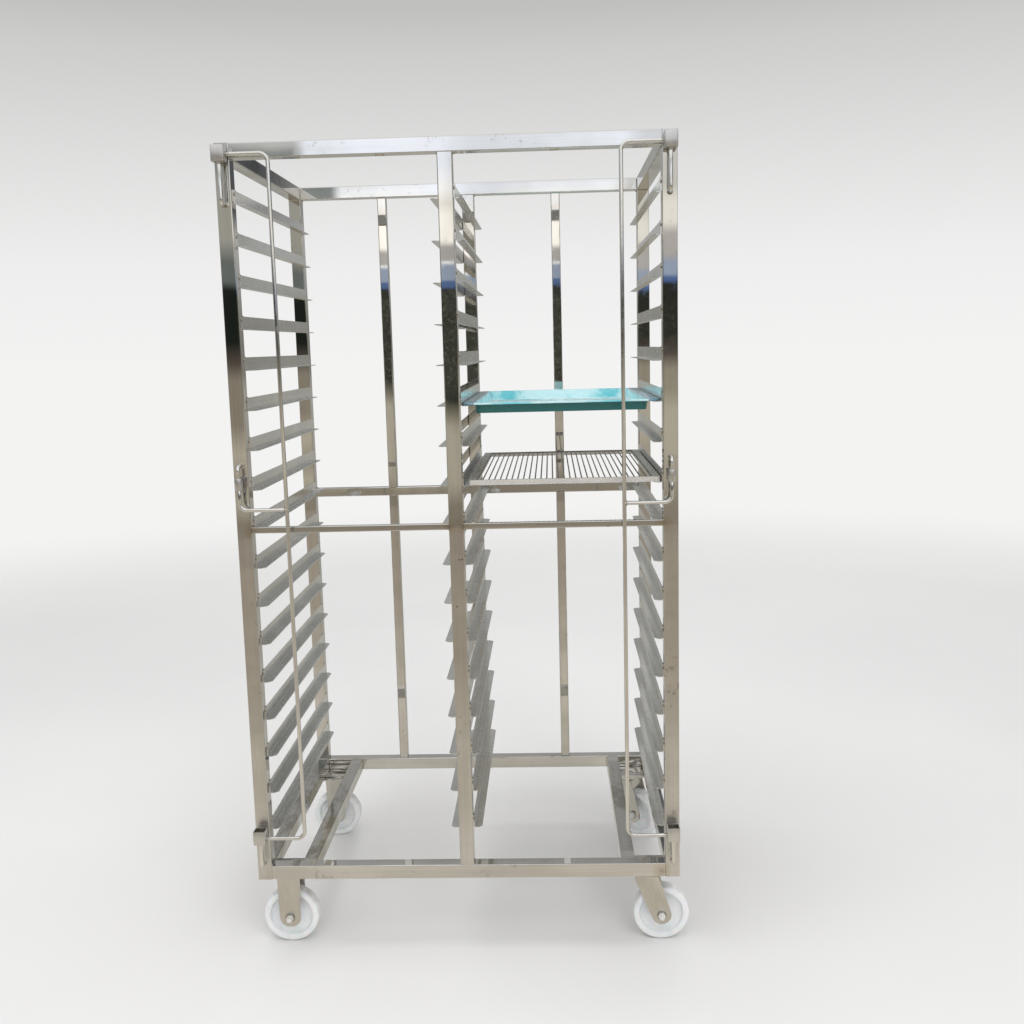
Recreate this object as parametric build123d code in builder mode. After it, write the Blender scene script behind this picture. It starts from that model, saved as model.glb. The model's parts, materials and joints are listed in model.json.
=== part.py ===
# Steaming tray trolley: a stainless frame with two columns of tray runners, round bars
# hinged across the front, and four casters. Sizes are in millimetres.
# Row frame: +X to the right and +Y to the back as the loader sees it, +Z up, with the
# origin on the floor under the middle of the whole outline.
from build123d import *
from math import cos
from math import radians
from math import sin
import os

os.makedirs("parts", exist_ok=True)

# Frame of square tube
frame_width = 900.0
frame_depth = 655.0
frame_height = 1525.0
tube_size = 30.0
tube_wall = 1.5
tube_corner = 2.0
end_plate = 2.0

# Light bars across the openings, with their drop from the top of the frame
front_mid_size = 13.0
front_mid_drop = 759.0
back_bar_size = 22.0
back_mid_drop = 760.0
light_wall = 1.2

# Inner rails of the base, which carry the caster plates
inner_rail_inset = 107.0

# Tray runners: an angle of bent sheet, flange upright on the posts and ledge inwards
runner_levels = 17
top_runner_drop = 88.2
low_runner_height = 132.0
runner_sheet = 1.5
runner_bend = 2.6
runner_flange = 27.0
runner_ledge = 18.0
runner_ledge_corner = 8.0
runner_front = 20.0
runner_gap_behind = 1.0

# Hinged front bars
hinge_standoff = 19.5
rod_radius = 4.0
bore_clearance = 0.08
gate_reach = 95.0
gate_top_drop = 25.0
gate_mid_drop = 721.0
gate_bottom_arm = 102.0
gate_bend = 17.0
mid_arm_bend = 15.0
sleeve_size = 26.0
sleeve_corner = 3.0
top_sleeve_drop = 8.0
top_sleeve_length = 31.0
bottom_sleeve_low = 92.0
bottom_sleeve_length = 29.0
barrel_radius = 8.0
barrel_rise = 41.5
barrel_length = 23.8
barrel_floor = 4.8
top_pin_below = 79.0
bottom_pin_below = 53.5
mid_pin_above = 23.7
pin_bend = 9.0
pin_reach_in = 20.0
pin_end_gap = 0.3

# Casters
caster_height = 165.5
wheel_radius = 60.0
wheel_width = 32.0
hub_radius = 17.0
hub_width = 43.0
web_width = 12.0
rim_depth = 13.0
wheel_edge = 3.0
web_draft = 2.0
axle_radius = 5.0
axle_clearance = 0.08
shank_clearance = 0.1
thread_gap = 0.05
axle_hex_half = 7.0
axle_head_height = 5.6
axle_nut_height = 7.5
axle_end = 16.0
axle_tip = 1.0
fork_gap = 45.0
fork_sheet = 3.0
plate_length = 110.0
plate_depth = 85.0
plate_thickness = 4.0
plate_corner = 8.0
plate_bolt_x = 46.0
plate_bolt_y = 20.0
bolt_radius = 4.0
bolt_sides = 8
bolt_clearance = 0.3
bolt_hex_half = 6.5
bolt_head_height = 5.3
bolt_nut_height = 6.5
bolt_end = 9.0
rigid_side_inset = 55.0
swivel_side_inset = 67.0
caster_inset = 59.0
swivel_trail = 32.0
front_swivel_angle = 0.0
back_swivel_angle = -40.0
upper_race_radius = 27.0
upper_race_height = 3.0
race_gap = 0.3
lower_race_radius = 31.0
lower_race_height = 8.0
race_bevel = 4.0
race_lip = 1.5
crown_thickness = 3.0
kingpin_radius = 6.0
kingpin_head = 10.0
kingpin_head_height = 6.0
kingpin_chamfer = 2.0
leg_root = 4.0
swivel_leg_top = 50.0
swivel_leg_end = 21.0
rigid_leg_top = 50.0
rigid_leg_low = 46.0
rigid_leg_end = 21.0
rigid_leg_corner = 20.0

# Sheet pan
pan_side_gap = 3.25
pan_length = 600.0
pan_depth = 21.0
pan_sheet = 1.2
pan_rim = 23.0
pan_end_rim = 8.0
pan_lip = 4.0
pan_corner = 14.0
pan_draft = 3.0
pan_front = 25.0
levels_above_pan = 5

# Wire tray
wire_side_gap = 7.5
wire_length = 590.0
wire_height = 10.5
wire_side = 16.0
wire_end = 4.0
wire_rod_radius = 1.5
wire_rod_sides = 8
wire_rods = 29
wire_shift = 4.0
wire_front = 25.0
wire_corner = 4.0
levels_above_wire = 7

# Places that follow from the sizes above
half = frame_width / 2
column_face = half - tube_size
column_middle = (column_face + tube_size / 2) / 2
front_mid_top = frame_height - front_mid_drop
back_mid_top = frame_height - back_mid_drop
runner_pitch = (frame_height - top_runner_drop - low_runner_height) / (runner_levels - 1)
column_clear = column_face - tube_size / 2
gate_top_arm = frame_height - gate_top_drop
gate_mid_arm = frame_height - gate_mid_drop
top_sleeve_high = frame_height - top_sleeve_drop
top_sleeve_low = top_sleeve_high - top_sleeve_length
bottom_sleeve_high = bottom_sleeve_low + bottom_sleeve_length
barrel_low = gate_mid_arm + barrel_rise
barrel_high = barrel_low + barrel_length
top_pin_low = top_sleeve_low - top_pin_below
bottom_pin_low = bottom_sleeve_low - bottom_pin_below
mid_pin_high = barrel_high + mid_pin_above
barrel_bore = barrel_length - barrel_floor
inner_rail_x = half - inner_rail_inset
rigid_x = half - rigid_side_inset
swivel_x = half - swivel_side_inset
frame_base = caster_height
axle_drop = caster_height - wheel_radius
hinge_x = half - tube_size / 2
hinge_y = -hinge_standoff
back_bar_y = frame_depth - back_bar_size
runner_back = back_bar_y - runner_gap_behind
runner_length = runner_back - runner_front
back_caster_y = frame_depth - caster_inset
left_edge = min(-half, -rigid_x - wheel_radius)
right_edge = max(half, swivel_x + swivel_trail * cos(radians(front_swivel_angle)) + wheel_radius)
front_edge = hinge_y - sleeve_size / 2
back_edge = frame_depth
middle_x = (left_edge + right_edge) / 2
middle_y = (front_edge + back_edge) / 2


def at(x, y, z):
    """Place given from the frame's middle, its front face and its underside."""
    return (x - middle_x, y - middle_y, z + frame_base)


def ledge_top(level):
    """Height of a runner's ledge above the frame's underside."""
    top = frame_height - top_runner_drop - runner_pitch * level
    return top - runner_flange + runner_sheet


def save(piece, name):
    """Label a finished piece and write it."""
    piece.label = name
    export_step(piece, f"parts/{name}.step")


def upright(x, y, low, high, size, wall):
    """Square tube standing on end."""
    with BuildPart() as tube:
        with BuildSketch(Plane(at(x, y, low))):
            RectangleRounded(size, size, tube_corner)
            Rectangle(size - 2 * wall, size - 2 * wall, mode=Mode.SUBTRACT)
        extrude(amount=high - low)
    return tube.part


def crossways(left, right, y, z, size, wall):
    """Square tube lying along X, given by the middle of its section."""
    with BuildPart() as tube:
        with BuildSketch(Plane(at(left, y, z), x_dir=(0, 1, 0), z_dir=(1, 0, 0))):
            RectangleRounded(size, size, tube_corner)
            Rectangle(size - 2 * wall, size - 2 * wall, mode=Mode.SUBTRACT)
        extrude(amount=right - left)
    return tube.part


def lengthways(x, front, back, z, holes):
    """Square tube lying along Y, with holes in its underside at the given Y places."""
    with BuildPart() as tube:
        with BuildSketch(Plane(at(x, front, z), x_dir=(1, 0, 0), z_dir=(0, 1, 0))):
            RectangleRounded(tube_size, tube_size, tube_corner)
            Rectangle(tube_size - 2 * tube_wall, tube_size - 2 * tube_wall, mode=Mode.SUBTRACT)
        extrude(amount=back - front)
        if holes:
            with BuildSketch(Plane(at(0, 0, z - tube_size / 2))):
                with Locations(*holes):
                    RegularPolygon(bolt_radius + bolt_clearance, bolt_sides, major_radius=False)
            extrude(amount=tube_wall, mode=Mode.SUBTRACT)
    return tube.part


# Corner posts and centre posts
for side, sx in (("left", -1), ("right", 1)):
    for end, y in (("front", tube_size / 2), ("back", frame_depth - tube_size / 2)):
        post = upright(sx * hinge_x, y, end_plate, frame_height - end_plate, tube_size, tube_wall)
        save(post, f"{side}_{end}_post")
for end, y in (("front", tube_size / 2), ("back", frame_depth - tube_size / 2)):
    post = upright(0, y, tube_size, frame_height - tube_size, tube_size, tube_wall)
    save(post, f"centre_{end}_post")

# Plates that close the corner posts, flush with the rails
with BuildPart() as post_end_plates:
    for low in (0, frame_height - end_plate):
        with BuildSketch(Plane(at(0, frame_depth / 2, low))):
            with GridLocations(2 * hinge_x, frame_depth - tube_size, 2, 2):
                RectangleRounded(tube_size, tube_size, tube_corner)
        extrude(amount=end_plate)
save(post_end_plates.part, "post_end_plates")

# Top and bottom rails
rail_low = tube_size / 2
rail_high = frame_height - tube_size / 2
for level, z in (("top", rail_high), ("bottom", rail_low)):
    for end, y in (("front", tube_size / 2), ("back", frame_depth - tube_size / 2)):
        save(crossways(-column_face, column_face, y, z, tube_size, tube_wall), f"{end}_{level}_rail")
for side, sx, caster_x in (("left", -1, rigid_x), ("right", 1, swivel_x)):
    rail = lengthways(sx * hinge_x, tube_size, frame_depth - tube_size, rail_high, [])
    save(rail, f"{side}_top_rail")
    bolt_rows = []
    for y in (caster_inset, back_caster_y):
        bolt_rows.append(y - plate_bolt_y)
        bolt_rows.append(y + plate_bolt_y)
    outer = [(sx * (caster_x + plate_bolt_x), y) for y in bolt_rows]
    inner = [(sx * (caster_x - plate_bolt_x), y) for y in bolt_rows]
    rail = lengthways(sx * hinge_x, tube_size, frame_depth - tube_size, rail_low, outer)
    save(rail, f"{side}_bottom_rail")
    rail = lengthways(sx * inner_rail_x, tube_size, frame_depth - tube_size, rail_low, inner)
    save(rail, f"{side}_inner_rail")

# Light rails half way up: one pair across the front, one pair across the back
front_mid_z = front_mid_top - front_mid_size / 2
back_mid_z = back_mid_top - back_bar_size / 2
back_bar_middle = back_bar_y + back_bar_size / 2
with BuildPart() as front_mid_rails:
    for low, high in ((-column_face, -tube_size / 2), (tube_size / 2, column_face)):
        add(crossways(low, high, front_mid_size / 2, front_mid_z, front_mid_size, light_wall))
save(front_mid_rails.part, "front_mid_rails")
with BuildPart() as back_mid_rails:
    for low, high in ((-column_face, -tube_size / 2), (tube_size / 2, column_face)):
        add(crossways(low, high, back_bar_middle, back_mid_z, back_bar_size, light_wall))
save(back_mid_rails.part, "back_mid_rails")

# Upright bars behind the columns, which stop the trays at the back
for side, sx in (("left", -1), ("right", 1)):
    with BuildPart() as stop_bar:
        x = sx * column_middle
        add(upright(x, back_bar_middle, tube_size, back_mid_top - back_bar_size, back_bar_size, light_wall))
        add(upright(x, back_bar_middle, back_mid_top, frame_height - tube_size, back_bar_size, light_wall))
    save(stop_bar.part, f"{side}_stop_bars")


def one_runner(x, facing, level):
    """Bent angle on the post face at x, with its ledge pointing along facing."""
    foot = ledge_top(level) - runner_sheet
    with BuildPart() as runner:
        plane = Plane(at(x, runner_front, foot), x_dir=(facing, 0, 0), z_dir=(0, -facing, 0))
        with BuildSketch(plane):
            with BuildLine():
                Polyline(
                    (runner_bend, 0),
                    (runner_ledge, 0),
                    (runner_ledge, runner_sheet),
                    (runner_bend, runner_sheet),
                    (runner_sheet, runner_bend),
                    (runner_sheet, runner_flange),
                    (0, runner_flange),
                    (0, runner_bend),
                    close=True,
                )
            make_face()
        extrude(amount=-facing * runner_length)
        tip = at(x + facing * runner_ledge, 0, 0)[0]
        corners = runner.edges().filter_by(Axis.Z).filter_by_position(Axis.X, tip - 0.1, tip + 0.1)
        chamfer(corners, length=runner_ledge_corner)
    return runner.part


# Four banks of runners, each on the faces of a front post and a back post
banks = (
    ("left_outer_runners", -column_face, 1),
    ("left_inner_runners", -tube_size / 2, -1),
    ("right_inner_runners", tube_size / 2, 1),
    ("right_outer_runners", column_face, -1),
)
for name, x, facing in banks:
    first = one_runner(x, facing, 0)
    with BuildPart() as bank:
        with Locations(*[(0, 0, -runner_pitch * level) for level in range(runner_levels)]):
            add(first)
    save(bank.part, name)

# Casters are drawn about the middle of their top plate and then set in place
leg_outer = fork_gap / 2 + fork_sheet
shank_hole = axle_radius + shank_clearance
plate_hole = bolt_radius + bolt_clearance


def leg_plane(face):
    """Plane square to the axle, with X forward and Y up."""
    return Plane((0, face, 0), x_dir=(1, 0, 0), z_dir=(0, -1, 0))


with BuildPart() as plate_shape:
    with BuildSketch(Plane.XY.offset(-plate_thickness)):
        RectangleRounded(plate_length, plate_depth, plate_corner)
        with GridLocations(2 * plate_bolt_x, 2 * plate_bolt_y, 2, 2):
            RegularPolygon(plate_hole, bolt_sides, major_radius=False, mode=Mode.SUBTRACT)
    extrude(amount=plate_thickness)

# Rigid bracket: the plate and two straight legs
with BuildPart() as bracket_shape:
    add(plate_shape.part)
    for face in (-fork_gap / 2, leg_outer):
        with BuildSketch(leg_plane(face)):
            with Locations((0, -plate_thickness - leg_root / 2)):
                Rectangle(rigid_leg_top, leg_root)
            with Locations((0, -axle_drop)):
                RectangleRounded(rigid_leg_low, 2 * rigid_leg_end, rigid_leg_corner)
            make_hull()
            with Locations((0, -axle_drop)):
                Circle(shank_hole, mode=Mode.SUBTRACT)
        extrude(amount=fork_sheet)

# Swivel plate with the upper ring of the ball race
with BuildPart() as swivel_plate_shape:
    add(plate_shape.part)
    with BuildSketch(Plane.XY.offset(-plate_thickness)):
        Circle(upper_race_radius)
    extrude(amount=-upper_race_height)
    with BuildSketch(Plane.XY):
        Circle(kingpin_radius)
    extrude(amount=-plate_thickness - upper_race_height, mode=Mode.SUBTRACT)

# Kingpin through the race and the crown of the fork, headed below
race_top = -plate_thickness - upper_race_height - race_gap
crown_top = race_top - lower_race_height
crown_low = crown_top - crown_thickness
pin_hole = kingpin_radius + axle_clearance
with BuildPart() as kingpin_shape:
    with BuildSketch(Plane.XY):
        Circle(kingpin_radius)
    extrude(amount=crown_low - race_gap)
    with BuildSketch(Plane.XY.offset(crown_low - race_gap)):
        Circle(kingpin_head)
    extrude(amount=-kingpin_head_height)
    low_rim = kingpin_shape.edges().filter_by(GeomType.CIRCLE).sort_by(Axis.Z)[0]
    chamfer(low_rim, length=kingpin_chamfer)

# Lower ring of the race, a shallow cup that turns with the fork
with BuildPart() as race_shape:
    with BuildSketch(Plane.XZ):
        with BuildLine():
            Polyline(
                (pin_hole, crown_top),
                (lower_race_radius - race_bevel, crown_top),
                (lower_race_radius, crown_top + race_bevel),
                (lower_race_radius, race_top - race_lip),
                (lower_race_radius - race_lip, race_top),
                (pin_hole, race_top),
                close=True,
            )
        make_face()
    revolve(axis=Axis.Z)

# Fork: crown and two raked legs
with BuildPart() as fork_shape:
    with BuildSketch(Plane.XY.offset(crown_low)):
        Rectangle(swivel_leg_top, 2 * leg_outer)
        Circle(pin_hole, mode=Mode.SUBTRACT)
    extrude(amount=crown_thickness)
    for face in (-fork_gap / 2, leg_outer):
        with BuildSketch(leg_plane(face)):
            with Locations((0, crown_top - leg_root)):
                Rectangle(swivel_leg_top, 2 * leg_root)
            with Locations((swivel_trail, -axle_drop)):
                Circle(swivel_leg_end)
            make_hull()
            with Locations((swivel_trail, -axle_drop)):
                Circle(shank_hole, mode=Mode.SUBTRACT)
        extrude(amount=fork_sheet)
    top_edges = fork_shape.edges().filter_by(Axis.X).group_by(Axis.Z)[-1]
    fillet(top_edges, radius=fork_sheet)

# Axle bolt, headed at the back, with its nut on the front leg, drawn about the axle
with BuildPart() as axle_shape:
    with BuildSketch(leg_plane(leg_outer)):
        RegularPolygon(axle_hex_half, 6, major_radius=False)
    extrude(amount=-axle_head_height)
    with BuildSketch(leg_plane(leg_outer)):
        Circle(axle_radius)
    extrude(amount=2 * leg_outer + axle_end)
    front_rim = axle_shape.edges().filter_by(GeomType.CIRCLE).sort_by(Axis.Y)[0]
    chamfer(front_rim, length=axle_tip)
with BuildPart() as axle_nut_shape:
    with BuildSketch(leg_plane(-leg_outer)):
        RegularPolygon(axle_hex_half, 6, major_radius=False)
        Circle(axle_radius + thread_gap, mode=Mode.SUBTRACT)
    extrude(amount=axle_nut_height)

# Wheel: flat rim, recessed web and long hub in one piece
with BuildPart() as wheel_shape:
    rim_inner = wheel_radius - rim_depth
    half_web = web_width / 2
    half_tread = wheel_width / 2
    half_hub = hub_width / 2
    bore = axle_radius + axle_clearance
    with BuildSketch(Plane.XY):
        with BuildLine():
            Polyline(
                (bore, -half_hub),
                (hub_radius, -half_hub),
                (hub_radius + web_draft, -half_web),
                (rim_inner - web_draft, -half_web),
                (rim_inner, -half_tread),
                (wheel_radius - wheel_edge, -half_tread),
                (wheel_radius, -half_tread + wheel_edge),
                (wheel_radius, half_tread - wheel_edge),
                (wheel_radius - wheel_edge, half_tread),
                (rim_inner, half_tread),
                (rim_inner - web_draft, half_web),
                (hub_radius + web_draft, half_web),
                (hub_radius, half_hub),
                (bore, half_hub),
                close=True,
            )
        make_face()
    revolve(axis=Axis.Y)


def set_in_place(shapes, place, name):
    """Move pieces drawn at the origin to their place and save them as one node."""
    with BuildPart() as piece:
        with Locations(place):
            for shape in shapes:
                add(shape)
    save(piece.part, name)


# Two rigid casters on the left
for end, y in (("front", caster_inset), ("back", back_caster_y)):
    under = Location(at(-rigid_x, y, 0))
    axle = under * Location((0, 0, -axle_drop))
    set_in_place([bracket_shape.part], under, f"left_{end}_bracket")
    set_in_place([axle_shape.part, axle_nut_shape.part], axle, f"left_{end}_axle")
    set_in_place([wheel_shape.part], axle, f"left_{end}_wheel")

# Two swivel casters on the right
swivels = (("front", caster_inset, front_swivel_angle), ("back", back_caster_y, back_swivel_angle))
for end, y, turn in swivels:
    plate_place = Location(at(swivel_x, y, 0))
    under = Location(at(swivel_x, y, 0), (0, 0, turn))
    axle = under * Location((swivel_trail, 0, -axle_drop))
    set_in_place([swivel_plate_shape.part], plate_place, f"right_{end}_swivel_plate")
    set_in_place([kingpin_shape.part], plate_place, f"right_{end}_kingpin")
    set_in_place([race_shape.part], under, f"right_{end}_race")
    set_in_place([fork_shape.part], under, f"right_{end}_fork")
    set_in_place([axle_shape.part, axle_nut_shape.part], axle, f"right_{end}_axle")
    set_in_place([wheel_shape.part], axle, f"right_{end}_wheel")

# Bolts and nuts that hold the caster plates to the rails above
bolt_places = []
for x in (-rigid_x, swivel_x):
    for y in (caster_inset, back_caster_y):
        for dx in (-plate_bolt_x, plate_bolt_x):
            for dy in (-plate_bolt_y, plate_bolt_y):
                bolt_places.append(at(x + dx, y + dy, 0))
with BuildPart() as bolt_shape:
    with BuildSketch(Plane.XY.offset(-plate_thickness)):
        RegularPolygon(bolt_hex_half, 6, major_radius=False)
    extrude(amount=-bolt_head_height)
    with BuildSketch(Plane.XY.offset(-plate_thickness)):
        RegularPolygon(bolt_radius, bolt_sides, major_radius=False)
    extrude(amount=plate_thickness + bolt_end)
with BuildPart() as bolt_nut_shape:
    with BuildSketch(Plane.XY.offset(tube_wall)):
        RegularPolygon(bolt_hex_half, 6, major_radius=False)
        RegularPolygon(bolt_radius, bolt_sides, major_radius=False, mode=Mode.SUBTRACT)
    extrude(amount=bolt_nut_height)
for shape, name in ((bolt_shape.part, "caster_bolts"), (bolt_nut_shape.part, "caster_nuts")):
    with BuildPart() as fasteners:
        with Locations(*bolt_places):
            add(shape)
    save(fasteners.part, name)


def bent_rod(points, bend):
    """Round rod along straight runs joined by bends."""
    with BuildPart() as rod:
        with BuildLine() as route:
            FilletPolyline(*points, radius=bend)
        with BuildSketch(Plane(origin=route.line @ 0, z_dir=route.line % 0)):
            Circle(rod_radius)
        sweep(path=route.line)
    return rod.part


# Hinged front bars and the pins on the posts that carry them
bore_radius = rod_radius + bore_clearance
for side, sx in (("left", -1), ("right", 1)):
    bar_x = sx * (hinge_x - gate_reach)
    sleeve_face = sx * (hinge_x - sleeve_size / 2)
    rod = bent_rod(
        [
            at(sleeve_face, hinge_y, gate_top_arm),
            at(bar_x, hinge_y, gate_top_arm),
            at(bar_x, hinge_y, gate_bottom_arm),
            at(sleeve_face, hinge_y, gate_bottom_arm),
        ],
        gate_bend,
    )
    save(rod, f"{side}_gate_bar")

    # Middle arm: its inner end is cut to sit on the bar, its outer end turns up
    with BuildPart() as mid_arm:
        points = [at(bar_x, hinge_y, gate_mid_arm), at(sx * hinge_x, hinge_y, gate_mid_arm)]
        points.append(at(sx * hinge_x, hinge_y, barrel_low))
        add(bent_rod(points, mid_arm_bend))
        with BuildSketch(Plane(at(bar_x, hinge_y, gate_mid_arm - mid_arm_bend))):
            Circle(rod_radius)
        extrude(amount=2 * mid_arm_bend, mode=Mode.SUBTRACT)
    save(mid_arm.part, f"{side}_gate_mid_arm")

    # Square sleeves at the ends of the bar, each bored from below for its pin
    sleeves = (
        ("top", top_sleeve_low, top_sleeve_high),
        ("bottom", bottom_sleeve_low, bottom_sleeve_high),
    )
    for end, low, high in sleeves:
        with BuildPart() as sleeve:
            with BuildSketch(Plane(at(sx * hinge_x, hinge_y, low))):
                RectangleRounded(sleeve_size, sleeve_size, sleeve_corner)
            extrude(amount=high - low)
            with BuildSketch(Plane(at(sx * hinge_x, hinge_y, low))):
                Circle(bore_radius)
            extrude(amount=pin_reach_in + pin_end_gap, mode=Mode.SUBTRACT)
        save(sleeve.part, f"{side}_gate_{end}_sleeve")

    # Round barrel on the middle arm, bored from above
    with BuildPart() as barrel:
        with BuildSketch(Plane(at(sx * hinge_x, hinge_y, barrel_low))):
            Circle(barrel_radius)
        extrude(amount=barrel_high - barrel_low)
        with BuildSketch(Plane(at(sx * hinge_x, hinge_y, barrel_high))):
            Circle(bore_radius)
        extrude(amount=-barrel_bore, mode=Mode.SUBTRACT)
    save(barrel.part, f"{side}_gate_barrel")

    # Hinge pins welded to the front of the post
    with BuildPart() as pins:
        for root, tip in (
            (top_pin_low, top_sleeve_low + pin_reach_in),
            (bottom_pin_low, bottom_sleeve_low + pin_reach_in),
            (mid_pin_high, barrel_high - barrel_bore + pin_end_gap),
        ):
            points = [at(sx * hinge_x, 0, root), at(sx * hinge_x, hinge_y, root)]
            points.append(at(sx * hinge_x, hinge_y, tip))
            add(bent_rod(points, pin_bend))
    save(pins.part, f"{side}_gate_pins")

# Sheet pan: drafted walls, a flat rim on the runners and a turned-down lip
pan_width = column_clear - 2 * pan_side_gap
pan_rest = ledge_top(levels_above_pan)
pan_top = pan_rest + pan_lip
pan_y = pan_front + pan_length / 2
pan_place = Plane(at(column_middle, pan_y, pan_top))


def pan_outline(inset):
    """Pan body outline at its top, drawn in by inset."""
    width = pan_width - 2 * pan_rim - 2 * inset
    length = pan_length - 2 * pan_end_rim - 2 * inset
    return RectangleRounded(width, length, pan_corner - inset)


pan_floor = pan_place.offset(-pan_depth)
with BuildPart() as sheet_pan:
    with BuildSketch(pan_place):
        RectangleRounded(pan_width, pan_length, pan_corner)
    extrude(amount=-pan_lip)
    with BuildSketch(pan_place.offset(-pan_sheet)):
        RectangleRounded(pan_width - 2 * pan_sheet, pan_length - 2 * pan_sheet, pan_corner - pan_sheet)
    extrude(amount=-pan_lip, mode=Mode.SUBTRACT)
    with BuildSketch(pan_place):
        pan_outline(0)
    with BuildSketch(pan_floor):
        pan_outline(pan_draft)
    loft()
    with BuildSketch(pan_place):
        pan_outline(pan_sheet)
    with BuildSketch(pan_floor.offset(pan_sheet)):
        pan_outline(pan_sheet + pan_draft)
    loft(mode=Mode.SUBTRACT)
save(sheet_pan.part, "sheet_pan")

# Wire tray: a flat frame with round rods from front to back
wire_width = column_clear - 2 * wire_side_gap
wire_low = ledge_top(levels_above_wire)
wire_top = wire_low + wire_height
wire_x = column_middle + wire_shift
wire_y = wire_front + wire_length / 2
inner_width = wire_width - 2 * wire_side
inner_length = wire_length - 2 * wire_end
with BuildPart() as wire_tray_frame:
    with BuildSketch(Plane(at(wire_x, wire_y, wire_low))):
        RectangleRounded(wire_width, wire_length, wire_corner)
        Rectangle(inner_width, inner_length, mode=Mode.SUBTRACT)
    extrude(amount=wire_height)
save(wire_tray_frame.part, "wire_tray_frame")
rod_pitch = inner_width / (wire_rods + 1)
rod_height = wire_top - wire_rod_radius
rod_plane = Plane(
    at(wire_x, wire_front + wire_end, rod_height), x_dir=(1, 0, 0), z_dir=(0, 1, 0)
)
with BuildPart() as wire_tray_rods:
    with BuildSketch(rod_plane):
        with GridLocations(rod_pitch, 1, wire_rods, 1):
            RegularPolygon(wire_rod_radius, wire_rod_sides)
    extrude(amount=inner_length)
save(wire_tray_rods.part, "wire_tray_rods")
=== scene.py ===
import bpy, bmesh, json, math
from mathutils import Matrix, Vector


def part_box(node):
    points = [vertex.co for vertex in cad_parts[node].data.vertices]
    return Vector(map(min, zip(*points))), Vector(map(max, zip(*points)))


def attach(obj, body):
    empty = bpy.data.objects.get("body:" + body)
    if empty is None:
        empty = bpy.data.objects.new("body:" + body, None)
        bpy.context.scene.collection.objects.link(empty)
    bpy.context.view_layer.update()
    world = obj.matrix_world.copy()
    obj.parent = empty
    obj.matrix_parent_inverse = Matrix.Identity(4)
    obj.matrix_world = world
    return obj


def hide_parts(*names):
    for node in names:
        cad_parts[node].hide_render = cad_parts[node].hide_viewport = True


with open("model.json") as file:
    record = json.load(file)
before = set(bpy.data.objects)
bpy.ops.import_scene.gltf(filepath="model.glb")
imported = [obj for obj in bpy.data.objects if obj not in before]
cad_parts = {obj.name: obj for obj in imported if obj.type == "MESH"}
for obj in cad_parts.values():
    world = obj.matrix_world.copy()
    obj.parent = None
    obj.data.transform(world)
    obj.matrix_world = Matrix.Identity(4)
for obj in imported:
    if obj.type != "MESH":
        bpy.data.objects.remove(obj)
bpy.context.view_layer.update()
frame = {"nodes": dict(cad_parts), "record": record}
nodes = frame["nodes"]
bodyOf = {node: body for body, names in frame["record"]["behaviour"]["bodies"].items() for node in names}
print("frame loaded:", len(nodes), "nodes")

# The frame's own measures: X from its middle, Y from its front face, Z from its underside, in mm
rowShift = Vector((10.0, 311.25, -165.5))
tubes = {
    "half": 450.0, "depth": 655.0, "height": 1525.0, "size": 30.0, "midHigh": 766.0, "midSize": 13.0,
    "backHigh": 765.0, "backBar": 22.0, "innerRail": 343.0, "rubbedInset": 42.0
}
columnFace = tubes["half"] - tubes["size"]
halfTube = tubes["size"] / 2
columnMiddle = (columnFace + halfTube) / 2
hingeX = tubes["half"] - halfTube
ends = ("front", "back")
sides = ("left", "right")


def at(x, y, z):
    return (Vector((x, y, z)) - rowShift) / 1000


def clearSelection():
    if bpy.context.object and bpy.context.object.mode == "EDIT":
        bpy.ops.object.mode_set(mode="OBJECT")
    bpy.ops.object.select_all(action="DESELECT")


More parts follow.
